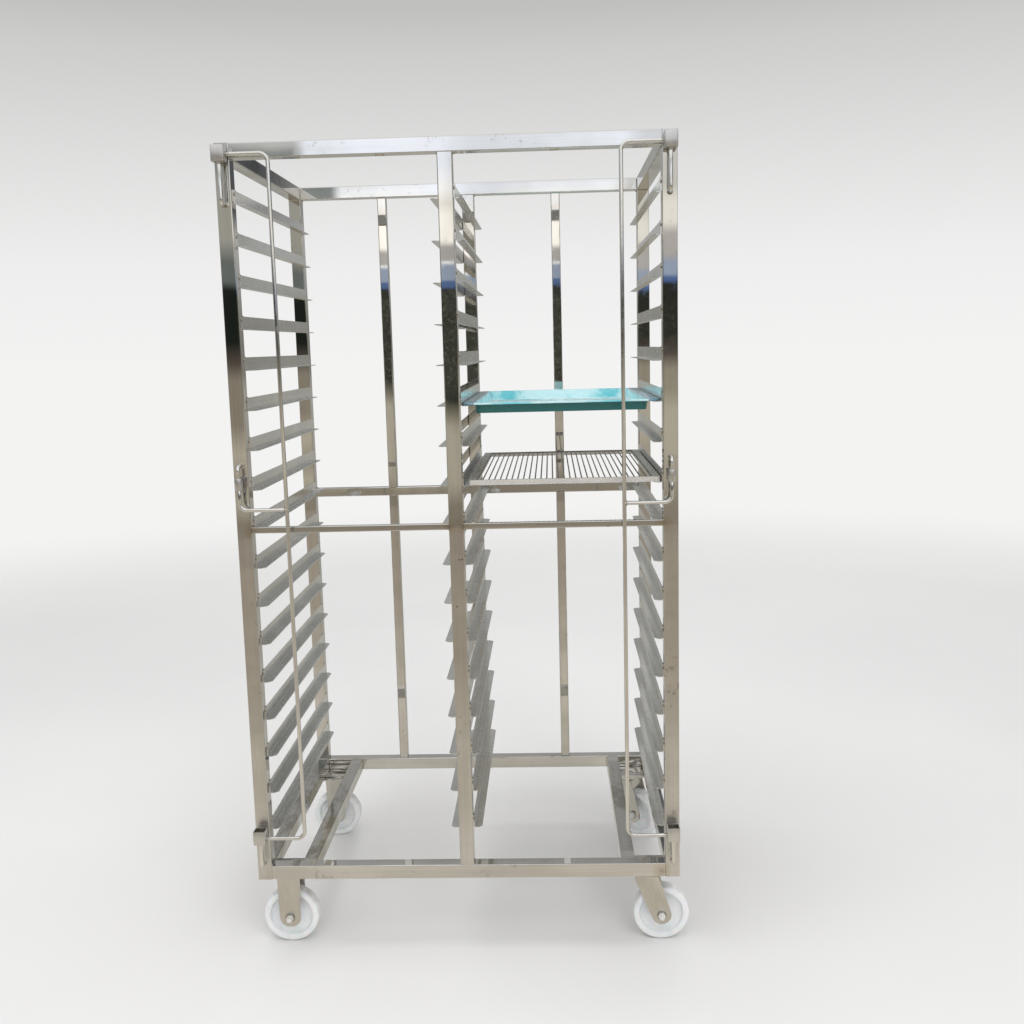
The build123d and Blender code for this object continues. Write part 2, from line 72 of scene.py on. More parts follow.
# Shader helper: wraps one output socket, so maths on it reads as maths
class Flow:
    def __init__(self, tree, socket=None):
        self.tree = tree
        self.socket = socket

    def add(self, kind, settings=None, sockets=None, out=0):
        node = self.tree.nodes.new(kind)
        for key, value in (settings or {}).items():
            if key == "stops":
                ramp = node.color_ramp
                while len(ramp.elements) < len(value):
                    ramp.elements.new(0.5)
                for element, (position, colour) in zip(ramp.elements, value):
                    element.position = position
                    element.color = colour
            else:
                setattr(node, key, value)
        for key, value in (sockets or {}).items():
            if isinstance(value, Flow):
                self.tree.links.new(value.socket, node.inputs[key])
            else:
                node.inputs[key].default_value = value
        return Flow(self.tree, node.outputs[out])

    def calc(self, operation, first, second):
        return self.add("ShaderNodeMath", {"operation": operation}, {0: first, 1: second})

    def __add__(self, other):
        return self.calc("ADD", self, other)

    def __radd__(self, other):
        return self.calc("ADD", other, self)

    def __sub__(self, other):
        return self.calc("SUBTRACT", self, other)

    def __rsub__(self, other):
        return self.calc("SUBTRACT", other, self)

    def __mul__(self, other):
        return self.calc("MULTIPLY", self, other)

    def __rmul__(self, other):
        return self.calc("MULTIPLY", other, self)

    def least(self, other):
        return self.calc("MINIMUM", self, other)

    def most(self, other):
        return self.calc("MAXIMUM", self, other)

    def blend(self, first, second):
        return self.add("ShaderNodeMix", {"data_type": "RGBA"}, {0: self, 6: first, 7: second}, out=2)

    def stretched(self, amounts):
        return self.add("ShaderNodeVectorMath", {"operation": "MULTIPLY"}, {0: self, 1: amounts})

    def turned(self, place, angles):
        return self.add(
            "ShaderNodeMapping", {"vector_type": "TEXTURE"},
            {"Vector": self, "Location": place, "Rotation": angles}
        )

    def noise(self, scale, detail=3.0, rough=0.5):
        return self.add(
            "ShaderNodeTexNoise", None,
            {"Vector": self, "Scale": scale, "Detail": detail, "Roughness": rough}
        )

    def window(self, low, high):
        return self.add(
            "ShaderNodeMapRange", {"interpolation_type": "SMOOTHSTEP"},
            {"Value": self, "From Min": low, "From Max": high}
        )

    def ramp(self, stops):
        return self.add("ShaderNodeValToRGB", {"stops": stops}, {"Fac": self})

    def part(self, axis):
        return self.add("ShaderNodeSeparateXYZ", None, {0: self}, out=axis)

    def reach(self):
        return self.add("ShaderNodeVectorMath", {"operation": "LENGTH"}, {0: self}, out=1)

    def reachTo(self, point):
        return self.add("ShaderNodeVectorMath", {"operation": "DISTANCE"}, {0: self, 1: point}, out=1)


def newMaterial(name, fixed):
    material = bpy.data.materials.new(name)
    material.use_nodes = True
    shader = material.node_tree.nodes["Principled BSDF"]
    for key, value in fixed.items():
        shader.inputs[key].default_value = value
    return material, shader, Flow(material.node_tree).add("ShaderNodeTexCoord", out=3)


def feed(shader, name, flow):
    flow.tree.links.new(flow.socket, shader.inputs[name])


def bumped(shader, height, strength, distance):
    feed(
        shader, "Normal",
        height.add("ShaderNodeBump", None, {"Height": height, "Strength": strength, "Distance": distance})
    )


casterLook = {
    "left": -395, "right": 383, "front": 59, "back": 596, "axle": -105.5, "trail": 32, "backTurn": 40
}
backTurn = math.radians(casterLook["backTurn"])
axles = {
    "left_front": {"place": at(casterLook["left"], casterLook["front"], casterLook["axle"]), "turn": 0.0},
    "left_back": {"place": at(casterLook["left"], casterLook["back"], casterLook["axle"]), "turn": 0.0},
    "right_front": {
        "place": at(casterLook["right"] + casterLook["trail"], casterLook["front"], casterLook["axle"]),
        "turn": 0.0
    },
    "right_back": {
        "place": at(
            casterLook["right"] + casterLook["trail"] * math.cos(backTurn),
            casterLook["back"] - casterLook["trail"] * math.sin(backTurn), casterLook["axle"]
        ),
        "turn": -backTurn
    },
}


def axleReach(place, corner):  # distance from the corner's axle line
    return place.turned(axles[corner]["place"], (0, 0, axles[corner]["turn"])).stretched((1, 0, 1)).reach()


# Metals: colour clouds, grain drawn out along one axis, fine scratches, smudges, specks and weld tint
steelLooks = {
    "polishedUpright": {
        "light": (0.72, 0.71, 0.69, 1), "dark": (0.63, 0.62, 0.59, 1), "rough": 0.018,
        "grain": (520, 520, 4), "grainDepth": 0.02, "smudge": 0.05, "bump": 0.006
    },
    "polishedAcross": {
        "light": (0.75, 0.74, 0.72, 1), "dark": (0.66, 0.65, 0.62, 1), "rough": 0.022,
        "grain": (4, 520, 520), "grainDepth": 0.02, "smudge": 0.05, "bump": 0.006
    },
    "polishedLengthways": {
        "light": (0.70, 0.69, 0.67, 1), "dark": (0.60, 0.59, 0.56, 1), "rough": 0.03,
        "grain": (520, 4, 520), "grainDepth": 0.02, "smudge": 0.05, "bump": 0.006, "streak": 0.34
    },
    "satinRunner": {
        "light": (0.88, 0.88, 0.87, 1), "dark": (0.73, 0.73, 0.71, 1), "rough": 0.24,
        "grain": (210, 2, 210), "grainDepth": 0.03, "smudge": 0.05, "bump": 0.002, "scratch": 0.12
    },
    "brightRod": {
        "light": (0.86, 0.85, 0.83, 1), "dark": (0.72, 0.71, 0.69, 1), "rough": 0.11,
        "grain": (300, 300, 9), "grainDepth": 0.08, "smudge": 0.08, "bump": 0.04
    },
    "dullSleeve": {
        "light": (0.72, 0.71, 0.71, 1), "dark": (0.60, 0.59, 0.58, 1), "rough": 0.30,
        "grain": (260, 260, 12), "grainDepth": 0.10, "smudge": 0.10, "bump": 0.015
    },
    "casterSteel": {
        "light": (0.70, 0.68, 0.65, 1), "dark": (0.60, 0.58, 0.54, 1), "rough": 0.15,
        "grain": (90, 90, 24), "grainDepth": 0.06, "smudge": 0.10, "bump": 0.012
    },
    "platedSteel": {
        "light": (0.95, 0.95, 0.94, 1), "dark": (0.80, 0.80, 0.78, 1), "metal": 0.45, "rough": 0.18,
        "grain": (200, 200, 200), "grainDepth": 0.08, "smudge": 0.10, "bump": 0.05
    },
    "trayFrame": {
        "light": (0.86, 0.855, 0.84, 1), "dark": (0.74, 0.73, 0.71, 1), "metal": 0.55, "rough": 0.26,
        "grain": (240, 6, 240), "grainDepth": 0.04, "smudge": 0.06, "bump": 0.003, "scratch": 0.15
    },
    "trayRods": {
        "light": (0.26, 0.25, 0.24, 1), "dark": (0.14, 0.135, 0.125, 1), "rough": 0.26,
        "grain": (300, 12, 300), "grainDepth": 0.10, "smudge": 0.10, "bump": 0.02
    },
    "weldMetal": {
        "light": (0.66, 0.62, 0.54, 1), "dark": (0.34, 0.30, 0.26, 1), "rough": 0.24,
        "grain": (900, 900, 900), "grainDepth": 0.20, "smudge": 0.16, "bump": 0.10
    },
}
marks = {
    "cloud": 7.0, "smudge": 38.0, "speck": 420.0, "scratchPull": (30, 900, 900),
    "scratchTurn": (0.5, 0.4, 0.3), "residue": 60.0, "streakShare": 0.09
}
markColours = {
    "scratch": (0.80, 0.79, 0.77, 1), "speck": (0.16, 0.14, 0.11, 1), "streak": (0.42, 0.40, 0.37, 1),
    "spot": (0.08, 0.06, 0.05, 1), "residue": (0.24, 0.21, 0.17, 1), "rubbed": (0.92, 0.91, 0.88, 1)
}
burnReach = {"from": 0.0008, "to": 0.0024}
rubReach = {"from": 0.012, "to": 0.026}
dullReach = {"from": 0.026, "to": 0.05, "rough": 0.32}
weldTint = {"straw": (0.55, 0.46, 0.34, 1), "violet": (0.34, 0.30, 0.34, 1), "reach": 0.024, "strength": 0.5}
burnSpots = [at(3.5, 0, 691), at(10.0, 0, 691.5), at(-3.7, 0, 593)]
rubbedEnds = [
    at(sx * tubes["innerRail"], y, tubes["size"]) for sx in (-1, 1)
    for y in (tubes["rubbedInset"], tubes["depth"] - tubes["rubbedInset"])
]
dulledSpots = [at(sx * hingeX, 0, z) for sx in (-1, 1) for z in (80, 125)]
railStain = {"colour": (0.27, 0.245, 0.19, 1), "strength": 0.65}
# dark ring round the axle heads on the caster steel: painted shadow of the heads, with grease
axleShadowAndGrease = {"colour": (0.10, 0.085, 0.06, 1), "reach": 0.0125, "strength": 0.75}
# upward faces of the tray frame painted darker: painted shade
trayTopShade = {"colour": (0.30, 0.30, 0.27, 1), "strength": 0.85}
tintPlaces = (
    [at(x, tubes["midSize"] / 2, 759.5) for x in (-columnFace, -halfTube, halfTube, columnFace)]
    + [at(columnFace - 8, 0, 12)]
)


def nearest(place, points):  # distance from the nearest of several points
    near = place.reachTo(points[0])
    for point in points[1:]:
        near = near.least(place.reachTo(point))
    return near


def steel(name):
    look = steelLooks[name]
    material, shader, place = newMaterial(name, {"Metallic": look.get("metal", 1.0)})
    grain = place.stretched(look["grain"]).noise(1.0, 3.0, 0.55)
    cloud = place.noise(marks["cloud"], 3.0, 0.6)
    smudge = place.noise(marks["smudge"], 5.0, 0.65).window(0.50, 0.74)
    scratchRows = place.turned((0, 0, 0), marks["scratchTurn"]).stretched(marks["scratchPull"])
    scratchRows = scratchRows.noise(1.0, 2.0, 0.5).window(0.70, 0.76)
    scratch = scratchRows * place.noise(5.0, 2.0, 0.5).window(0.45, 0.7)
    speck = (
        place.noise(marks["speck"], 2.0, 0.5).window(0.74, 0.80)
        * place.noise(14.0, 2.0, 0.5).window(0.48, 0.66)
    )
    tone = (cloud * 0.8 + grain * 0.5 - 0.15).window(0.25, 0.8)
    colour = tone.blend(look["dark"], look["light"])
    scratch = scratch * look.get("scratch", 0.5)
    colour = scratch.blend(colour, markColours["scratch"])
    colour = (speck * 0.7).blend(colour, markColours["speck"])
    if name.startswith("polished"):
        pull = [max(1.2, value * marks["streakShare"]) for value in look["grain"]]
        streak = place.stretched(pull).noise(1.0, 3.0, 0.6).window(0.35, 0.70)
        colour = (streak * look.get("streak", 0.22)).blend(colour, markColours["streak"])
        for spot in burnSpots:
            burnt = 1 - place.reachTo(spot).window(burnReach["from"], burnReach["to"])
            colour = (burnt * 0.8).blend(colour, markColours["spot"])
        fade = nearest(place, tintPlaces) + (place.noise(130.0, 3.0, 0.6) - 0.5) * 0.014
        ring = 1 - fade.window(weldTint["reach"] * 0.35, weldTint["reach"])
        burn = 1 - fade.window(weldTint["reach"] * 0.1, weldTint["reach"] * 0.45)
        colour = (ring * weldTint["strength"]).blend(colour, weldTint["straw"])
        colour = (burn * weldTint["strength"]).blend(colour, weldTint["violet"])
        residue = (
            place.noise(marks["residue"], 6.0, 0.8).window(0.56, 0.63)
            * place.noise(9.0, 2.0, 0.5).window(0.55, 0.62)
        )
        colour = (residue * 0.45).blend(colour, markColours["residue"])
    rough = (
        grain * look["grainDepth"] + smudge * look["smudge"] + scratch * 0.24
        + (look["rough"] - look["grainDepth"] * 0.4)
    )
    if name == "polishedLengthways":  # the inner rails' ends were rubbed down after welding
        ragged = nearest(place, rubbedEnds) + (smudge - 0.5) * 0.01
        rubbed = 1 - ragged.window(rubReach["from"], rubReach["to"])
        colour = (rubbed * 0.6).blend(colour, markColours["rubbed"])
        rough = rough + rubbed * 0.28
        stain = place.stretched((14, 7, 14)).noise(1.0, 5.0, 0.7).window(0.44, 0.62)
        colour = (stain * railStain["strength"]).blend(colour, railStain["colour"])
    if name == "polishedUpright":  # the posts are dull round the lowest pins
        ragged = nearest(place, dulledSpots) + (smudge - 0.5) * 0.01
        rough = rough + (1 - ragged.window(dullReach["from"], dullReach["to"])) * dullReach["rough"]
    if name == "casterSteel":  # a dark ring round the axle heads: painted shadow of the heads, with grease seeping out beside them
        ring = axleReach(place, "left_front")
        for corner in ("right_front", "right_back"):
            ring = ring.least(axleReach(place, corner))
        # grease here is the painted shadow ring round the axle heads, with real grease in it
        grease = (1 - ring.window(axleShadowAndGrease["reach"] * 0.7, axleShadowAndGrease["reach"])) * (smudge * 0.5 + 0.6).least(1)
        colour = (grease * axleShadowAndGrease["strength"]).blend(colour, axleShadowAndGrease["colour"])
        rough = rough + grease * 0.15
    if name == "trayFrame":  # upward faces painted darker: painted shade
        flow = Flow(material.node_tree)
        topSide = flow.add("ShaderNodeTexCoord", out=1).part(2).window(0.6, 0.9)
        paintedTopShade = topSide * (cloud * 0.5 + 0.6).least(1)
        colour = (paintedTopShade * trayTopShade["strength"]).blend(colour, trayTopShade["colour"])
    feed(shader, "Base Color", colour)
    feed(shader, "Roughness", rough)
    bumped(shader, grain * 0.7 + cloud * 0.3 - scratch * 0.8, look["bump"], 0.0003)
    return material


steels = {name: steel(name) for name in steelLooks}

# Sleeve ends are open tube: their insides are painted dark, painted shade with some soot
sleeveInside = {"colour": (0.075, 0.065, 0.05, 1), "edge": (0.22, 0.20, 0.16, 1)}


def innerSoot():
    material, shader, place = newMaterial("innerSoot", {"Metallic": 0.6, "Specular IOR Level": 0.2})
    cloud = place.noise(160.0, 4.0, 0.6)
    feed(shader, "Base Color", cloud.window(0.3, 0.8).blend(sleeveInside["colour"], sleeveInside["edge"]))
    feed(shader, "Roughness", cloud * 0.3 + 0.45)
    bumped(shader, cloud, 0.2, 0.0003)
    return material


shadeAndSoot = innerSoot()

# Nylon wheels: pale body, a trodden dusty tread, mould rings on the web and a little grease at the hub
wheelLook = {
    "white": (0.94, 0.95, 0.96, 1), "shade": (0.84, 0.87, 0.88, 1), "dust": (0.46, 0.44, 0.40, 1),
    "grease": (0.30, 0.28, 0.25, 1), "rough": 0.30, "radius": 0.060, "treadFrom": 0.0032,
    "treadTo": 0.0008, "hubFrom": 0.010, "hubTo": 0.024, "ringPitch": 5200, "seam": (0.0003, 0.0009)
}


def wheelNylon(corner):
    axle = axles[corner]
    material, shader, place = newMaterial(
        corner.replace("_", "") + "Nylon",
        {
            "Subsurface Weight": 0.2, "Subsurface Scale": 0.006, "Specular IOR Level": 0.5,
            "Coat Roughness": 0.25
        }
    )
    local = place.turned(axle["place"], (0, 0, axle["turn"]))
    spoke = local.stretched((1, 0, 1)).reach()
    across = local.part(1)
    cloud = local.noise(22.0, 4.0, 0.6)
    fine = local.noise(420.0, 3.0, 0.6)
    rings = spoke.add("ShaderNodeMath", {"operation": "SINE"}, {0: spoke * wheelLook["ringPitch"]})
    tread = spoke.window(
        wheelLook["radius"] - wheelLook["treadFrom"], wheelLook["radius"] - wheelLook["treadTo"]
    )
    dirt = (local.noise(60.0, 6.0, 0.75) * 0.6 + local.noise(500.0, 2.0, 0.5) * 0.4).window(0.46, 0.60)
    seam = 1 - across.calc("ABSOLUTE", across, 0).window(*wheelLook["seam"])
    hubRing = 1 - spoke.window(wheelLook["hubFrom"], wheelLook["hubTo"])
    scuff = local.noise(95.0, 6.0, 0.75).window(0.62, 0.74)
    colour = cloud.window(0.3, 0.75).blend(wheelLook["shade"], wheelLook["white"])
    colour = (scuff * 0.25).blend(colour, wheelLook["dust"])
    colour = (tread * dirt * 0.55).blend(colour, wheelLook["dust"])
    colour = (hubRing * dirt * 0.45).blend(colour, wheelLook["grease"])
    feed(shader, "Base Color", colour)
    feed(shader, "Roughness", fine * 0.2 + cloud * 0.12 + tread * 0.2 + (wheelLook["rough"] - 0.16))
    bumped(
        shader, fine * 0.4 + cloud * 0.3 + rings * (1 - tread) * 0.08 + tread * (seam * 1.5 + dirt * 0.3),
        0.22, 0.0003
    )
    return material


nylons = {corner: wheelNylon(corner) for corner in axles}

# Sheet pan: pale lacquer inside; outer walls and underside painted deep teal, painted shade on a deeper outer
# coat; stacking rubs on the rim
panLook = {
    "pale": (0.62, 0.91, 0.95, 1), "patch": (0.15, 0.65, 0.74, 1), "deep": (0.010, 0.135, 0.135, 1),
    "rimTone": (0.17, 0.34, 0.43, 1), "bare": (0.52, 0.66, 0.70, 1), "rimBand": (0.024, 0.022),
    "lip": (0.004, 0.003), "endBand": (0.060, 0.110, 0.135, 0.160)
}


def panCoat():
    material, shader, place = newMaterial(
        "panCoat", {"Metallic": 0.2, "Coat Weight": 0.5, "Coat Roughness": 0.10}
    )
    flow = Flow(material.node_tree)
    facing = flow.add("ShaderNodeTexCoord", out=1)
    cloud = place.noise(9.0, 5.0, 0.65)
    wrinkle = place.stretched((26.0, 9.0, 26.0)).noise(1.0, 5.0, 0.6)
    rub = place.stretched((700, 12, 700)).noise(1.0, 3.0, 0.6).window(0.62, 0.74) * cloud.window(0.4, 0.6)
    low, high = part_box("sheet_pan")
    sideways = place.part(0) - (low.x + high.x) / 2
    outward = sideways.calc("ABSOLUTE", sideways, 0)
    rim = outward.window(*[(high.x - low.x) / 2 - inset for inset in panLook["rimBand"]])
    endways = place.part(1) - (low.y + high.y) / 2
    # outer walls below the lip, for the painted shade
    shadedOutside = (
        (facing.part(0) * sideways + facing.part(1) * endways).window(0.004, 0.02)
        * (1 - place.part(2).window(*[high.z - drop for drop in panLook["lip"]]))
    )
    endPatch = outward.window(*panLook["endBand"][:2]) * (1 - outward.window(*panLook["endBand"][2:]))
    # downward faces, for the painted shade
    shadedUnderside = 1 - facing.part(2).window(-0.8, -0.5)
    patches = (cloud * 0.7 + wrinkle * 0.3 - endPatch * 0.08).window(0.32, 0.49)
    colour = patches.blend(panLook["patch"], panLook["pale"])
    colour = rim.blend(colour, panLook["rimTone"])
    colour = (rub * 0.45).blend(colour, panLook["bare"])
    # outer walls and underside get the deep teal: painted shade on a deeper outer coat
    colour = shadedOutside.most(shadedUnderside).blend(colour, panLook["deep"])
    feed(shader, "Base Color", colour)
    feed(shader, "Roughness", wrinkle * 0.22 + rub * 0.2 + 0.14)
    bumped(shader, wrinkle + rub * 0.2, 0.18, 0.002)
    return material


panSheet = panCoat()
print("materials made")


def dress(names, material):
    for name in names:
        mesh = nodes[name].data
        mesh.materials.clear()
        mesh.materials.append(material)


dress([f"{s}_{e}_post" for s in ("left", "right", "centre") for e in ends], steels["polishedUpright"])
dress(["post_end_plates", "left_stop_bars", "right_stop_bars"], steels["polishedUpright"])
dress([f"{e}_{l}_rail" for e in ends for l in ("top", "bottom")], steels["polishedAcross"])
dress(["front_mid_rails", "back_mid_rails"], steels["polishedAcross"])
dress([f"{s}_{l}_rail" for s in sides for l in ("top", "bottom", "inner")], steels["polishedLengthways"])
dress([f"{s}_{b}_runners" for s in sides for b in ("outer", "inner")], steels["satinRunner"])
dress([f"{s}_gate_{p}" for s in sides for p in ("bar", "mid_arm", "pins")], steels["brightRod"])
dress(
    [f"{s}_gate_{p}" for s in sides for p in ("top_sleeve", "bottom_sleeve", "barrel")],
    steels["dullSleeve"]
)
dress(
    [f"left_{e}_bracket" for e in ends]
    + [f"right_{e}_{p}" for e in ends for p in ("swivel_plate", "fork")],
    steels["casterSteel"]
)
dress(
    [f"{s}_{e}_axle" for s in sides for e in ends]
    + [f"right_{e}_{p}" for e in ends for p in ("race", "kingpin")],
    steels["platedSteel"]
)
dress(["caster_bolts", "caster_nuts"], steels["platedSteel"])
for corner in axles:
    dress([corner + "_wheel"], nylons[corner])
dress(["wire_tray_frame"], steels["trayFrame"])
dress(["wire_tray_rods"], steels["trayRods"])
dress(["sheet_pan"], panSheet)
print("nodes dressed")


# Modelling helpers
def pick(kind, test):
    bpy.ops.mesh.select_mode(type=kind)
    bpy.ops.mesh.select_all(action="DESELECT")
    mesh = bmesh.from_edit_mesh(bpy.context.object.data)
    for item in {"VERT": mesh.verts, "EDGE": mesh.edges, "FACE": mesh.faces}[kind]:
        item.select_set(test(item))
    bmesh.update_edit_mesh(bpy.context.object.data)


def softened(piece, width, segments, limit=35):
    bevel = piece.modifiers.new("softEdges", "BEVEL")
    bevel.width = width
    bevel.segments = segments
    bevel.angle_limit = math.radians(limit)
    bpy.ops.object.modifier_apply(modifier="softEdges")
    bpy.ops.object.shade_smooth_by_angle(angle=math.radians(40))


def mergedCopy(node):  # a welded copy of a frame node, left active and in object mode
    clearSelection()
    words = node.split("_")
    name = words[0] + "".join(word.capitalize() for word in words[1:]) + "Finished"
    piece = bpy.data.objects.new(name, nodes[node].data.copy())
    bpy.context.collection.objects.link(piece)
    bpy.context.view_layer.objects.active = piece
    piece.select_set(True)
    bpy.ops.mesh.customdata_custom_splitnormals_clear()
    bpy.ops.object.mode_set(mode="EDIT")
    bpy.ops.mesh.select_all(action="SELECT")
    bpy.ops.mesh.remove_doubles(threshold=0.00001)
    bpy.ops.mesh.dissolve_limited(angle_limit=math.radians(0.5))
    bpy.ops.object.mode_set(mode="OBJECT")
    return piece


def standIn(piece, node):
    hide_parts(node)
    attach(piece, bodyOf[node])


# Round and pressed parts get a smooth skin and softened edges
softEdges = {
    "bar": 0.0003, "mid_arm": 0.0003, "barrel": 0.0008, "pins": 0.0004, "bracket": 0.0007, "fork": 0.0007,
    "axle": 0.0005, "race": 0.0006, "swivel_plate": 0.0008, "wheel": 0.0014
}
smoothNodes = [f"{s}_gate_{p}" for s in sides for p in ("bar", "mid_arm", "barrel", "pins")]
smoothNodes += [f"left_{e}_bracket" for e in ends]
smoothNodes += [f"right_{e}_{p}" for e in ends for p in ("fork", "race", "swivel_plate")]
smoothNodes += [f"{corner}_{p}" for corner in axles for p in ("axle", "wheel")]
for node in smoothNodes:
    width = next(value for key, value in softEdges.items() if node.endswith(key))
    piece = mergedCopy(node)
    softened(piece, width, 3 if node.endswith("wheel") else 2)
    standIn(piece, node)
piece = mergedCopy("sheet_pan")
softened(piece, 0.0004, 2)
standIn(piece, "sheet_pan")
print("round parts smoothed")

# Gate sleeves: short lengths of square tube, open at the top
sleeveLook = {"wall": 0.0022, "depth": 0.0065, "edge": 0.0009, "bore": 0.0111, "slack": 0.0005}


def insideSleeve(face, low, high):  # the recess's floor and its four walls
    floorZ = high.z - sleeveLook["depth"]
    levels = [v.co.z for v in face.verts]
    if max(levels) >= high.z + 0.0001 or min(levels) <= floorZ - sleeveLook["slack"]:
        return False
    if face.calc_center_median().z < floorZ + sleeveLook["slack"]:
        return True
    middle = (low + high) / 2
    return all(max(abs(v.co.x - middle.x), abs(v.co.y - middle.y)) < sleeveLook["bore"] for v in face.verts)


for side in sides:
    for end in ("top", "bottom"):
        node = f"{side}_gate_{end}_sleeve"
        low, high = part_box(node)
        piece = mergedCopy(node)
        piece.data.materials.append(shadeAndSoot)
        bpy.ops.object.mode_set(mode="EDIT")
        rimZ = high.z - sleeveLook["slack"]
        pick("FACE", lambda face: face.normal.z > 0.9 and face.calc_center_median().z > rimZ)
        bpy.ops.mesh.inset(thickness=sleeveLook["wall"])
        bpy.context.object.active_material_index = 1
        bpy.ops.mesh.extrude_region_move(TRANSFORM_OT_translate={"value": (0, 0, -sleeveLook["depth"])})
        # the recess floor and walls take the dark inside material: painted shade with some soot
        pick("FACE", lambda face: insideSleeve(face, low, high))
        bpy.ops.object.material_slot_assign()
        bpy.ops.object.mode_set(mode="OBJECT")
        softened(piece, sleeveLook["edge"], 2, 50)
        standIn(piece, node)
print("gate sleeves opened")

# Border of the wire tray: a round wire bent round the inside of its frame
borderLook = {"thick": 0.003, "corner": 0.006, "side": 0.016, "end": 0.004, "soft": 0.0012}
low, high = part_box("wire_tray_frame")
clearSelection()
bpy.ops.mesh.primitive_plane_add(size=1, location=((low.x + high.x) / 2, (low.y + high.y) / 2, high.z))
bpy.ops.transform.resize(
    value=(high.x - low.x - 2 * borderLook["side"], high.y - low.y - 2 * borderLook["end"], 1)
)
border = bpy.context.object
border.name = "trayBorder"
bpy.ops.object.transform_apply(location=True, rotation=True, scale=True)
bpy.ops.object.mode_set(mode="EDIT")
bpy.ops.mesh.select_all(action="SELECT")
bpy.ops.mesh.bevel(offset=borderLook["corner"], segments=3, affect="VERTICES")
bpy.ops.mesh.select_all(action="SELECT")
bpy.ops.mesh.inset(thickness=borderLook["thick"])
bpy.ops.mesh.delete(type="FACE")
bpy.ops.mesh.select_all(action="SELECT")
bpy.ops.mesh.extrude_region_move(TRANSFORM_OT_translate={"value": (0, 0, -borderLook["thick"])})
bpy.ops.mesh.select_all(action="SELECT")
bpy.ops.mesh.normals_make_consistent(inside=False)
bpy.ops.object.mode_set(mode="OBJECT")
softened(border, borderLook["soft"], 3)
border.data.materials.append(steels["trayRods"])
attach(border, bodyOf["wire_tray_frame"])
print("tray border bent")

# Weld beads: one rippled bead for the short tacks, one for the long seams, one ring for round rods
beadLooks = {
    "tack": {"length": 8.0, "thick": 1.5, "rings": 7},
    "seam": {"length": 25.0, "thick": 1.9, "rings": 15},
    "ring": {"thick": 1.35, "steps": 26, "open": 0.0047, "ripple": 0.72}
}


def beadMaster(name, look):  # lies along X, its middle at the origin
    clearSelection()
    bpy.ops.mesh.primitive_uv_sphere_add(
        segments=8, ring_count=look["rings"], radius=look["thick"] / 1000, rotation=(0, math.pi / 2, 0)
    )
    piece = bpy.context.object
    piece.name = name
    bpy.ops.object.transform_apply(location=True, rotation=True, scale=True)
    bpy.ops.object.mode_set(mode="EDIT")
    bpy.ops.mesh.select_all(action="SELECT")
    bpy.ops.transform.resize(value=(look["length"] / 2 / look["thick"], 1, 1), center_override=(0, 0, 0))
    levels = sorted({round(v.co.x, 7) for v in bmesh.from_edit_mesh(piece.data).verts})
    for number, level in enumerate(levels[2:-2]):  # fuller ends and alternate ripples
        pick("VERT", lambda vert: abs(vert.co.x - level) < 1e-6)
        wide = max(v.co.yz.length for v in bmesh.from_edit_mesh(piece.data).verts if v.select)
        grow = look["thick"] / 1000 / wide * (1.0 if number % 2 else 0.80)
        bpy.ops.transform.resize(value=(1, grow, grow), center_override=(level, 0, 0))
    bpy.ops.object.mode_set(mode="OBJECT")
    bpy.ops.object.shade_smooth_by_angle(angle=math.radians(60))
    piece.data.materials.append(steels["weldMetal"])
    return piece


def turnFrom(vert, angle):  # how far round the vertex stands from an angle
    return abs((math.atan2(vert.co.y, vert.co.x) - angle + math.pi) % (2 * math.pi) - math.pi)


def ringMaster(look):  # lies in the XY plane, with every other step drawn in
    clearSelection()
    bpy.ops.mesh.primitive_torus_add(
        major_segments=look["steps"], minor_segments=8, major_radius=look["open"],
        minor_radius=look["thick"] / 1000
    )
    piece = bpy.context.object
    piece.name = "ringBead"
    bpy.ops.object.mode_set(mode="EDIT")
    for step in range(0, look["steps"], 2):
        angle = 2 * math.pi * step / look["steps"]
        pick("VERT", lambda vert: turnFrom(vert, angle) < 0.02)
        middle = (look["open"] * math.cos(angle), look["open"] * math.sin(angle), 0)
        bpy.ops.transform.resize(value=(look["ripple"],) * 3, center_override=middle)
    bpy.ops.object.mode_set(mode="OBJECT")
    bpy.ops.object.shade_smooth_by_angle(angle=math.radians(60))
    piece.data.materials.append(steels["weldMetal"])
    return piece


turns = {
    "x": Matrix.Identity(4), "y": Matrix.Rotation(math.pi / 2, 4, "Z"),
    "z": Matrix.Rotation(math.pi / 2, 4, "Y")
}


def placedCopy(master, matrix):
    piece = bpy.data.objects.new(master.name + "Copy", master.data.copy())
    piece.data.transform(matrix)
    bpy.context.collection.objects.link(piece)
    return piece


def joined(pieces, name, body):
    clearSelection()
    for piece in pieces:
        piece.select_set(True)
    bpy.context.view_layer.objects.active = pieces[0]
    bpy.ops.object.join()
    whole = bpy.context.object
    whole.name = name
    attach(whole, body)
    return whole


tackBead = beadMaster("tackBead", beadLooks["tack"])
seamBead = beadMaster("seamBead", beadLooks["seam"])
ringBead = ringMaster(beadLooks["ring"])

